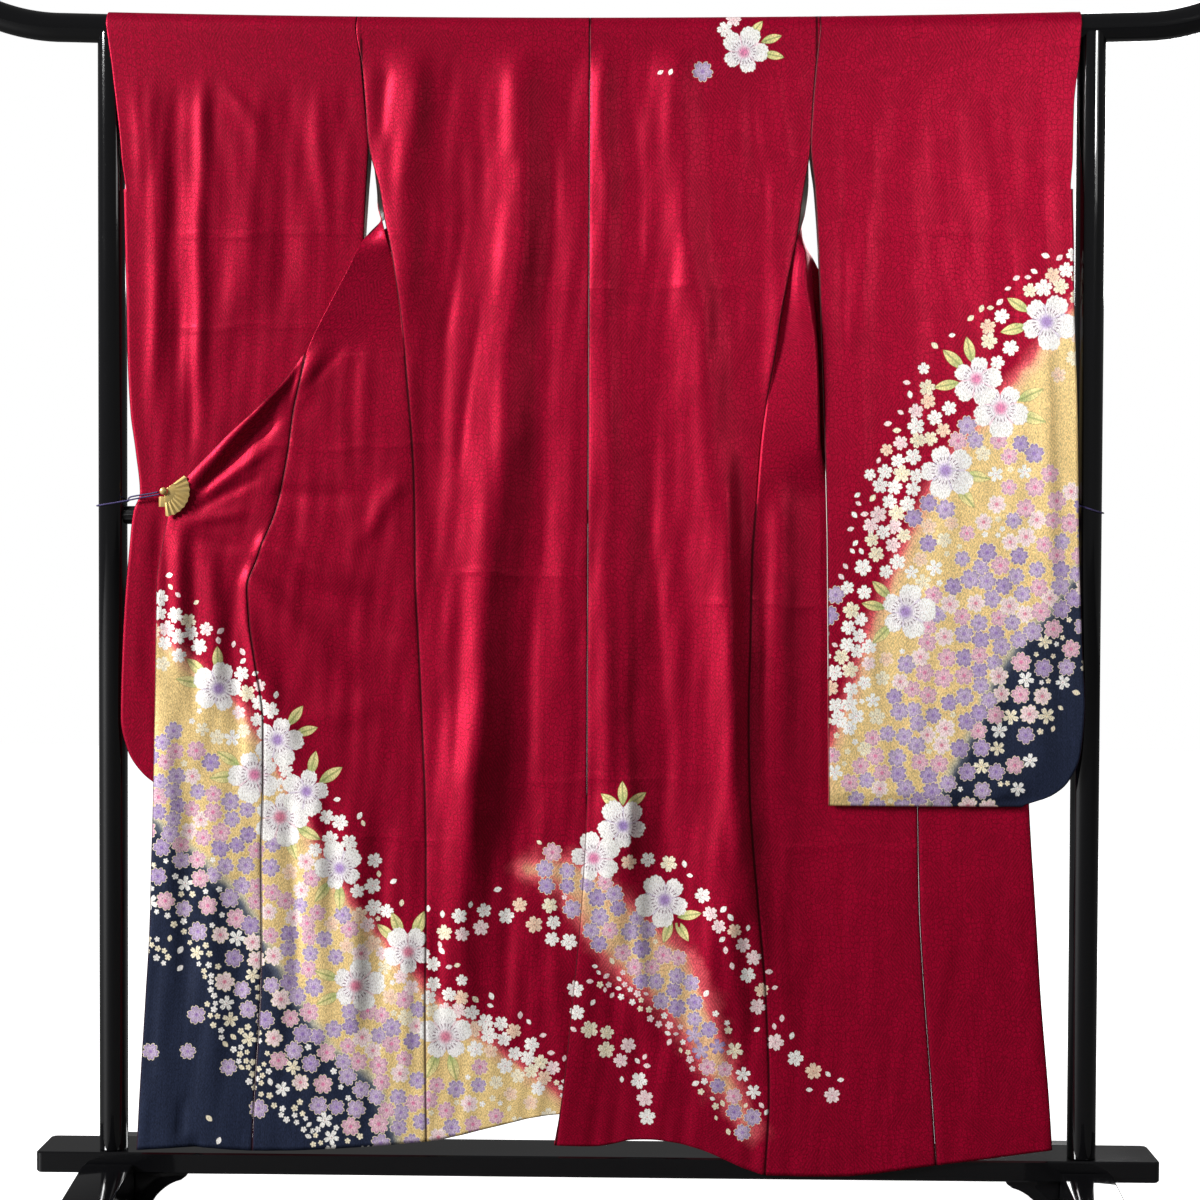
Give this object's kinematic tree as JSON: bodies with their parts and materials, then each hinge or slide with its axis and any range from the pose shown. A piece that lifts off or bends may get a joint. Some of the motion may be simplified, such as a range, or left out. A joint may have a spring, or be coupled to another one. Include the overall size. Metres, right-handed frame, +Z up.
{
  "type": "furisode kimono on a kimono stand",
  "caption": "Long-sleeved formal kimono spread over a lacquered kimono stand, its fronts drawn out by clips and cords to show the printed skirt.",
  "frame": {"origin": "on the floor, midway between the two feet and under the middle of the base plank", "axes": "+Z up, +X along the top bar to the viewer's right, -Y the side that shows the back of the kimono"},
  "size_m": [1.8042, 0.45, 1.715],
  "materials": {
    "silk": "satin",
    "lacquer": "gloss",
    "resin": "satin",
    "gold": "polished",
    "cord": "matte"
  },
  "bodies": {
    "root": {"body_left": "silk", "body_right": "silk", "okumi_left": "silk", "okumi_right": "silk", "sleeve_left": "silk", "sleeve_right": "silk", "collar": "silk", "top_bar": "lacquer", "post_left": "lacquer", "post_right": "lacquer", "base_plank": "lacquer", "foot_left": "lacquer", "foot_right": "lacquer", "gusset_left": "lacquer", "gusset_right": "lacquer", "mid_rail": "lacquer", "rail_cap_left": "resin", "rail_cap_right": "resin", "fan_clip": "gold", "fan_clip_head": "gold", "clip_spring_left": "gold", "clip_spring_right": "gold", "cord_left": "cord", "cord_right": "cord"}
  },
  "joints": []
}
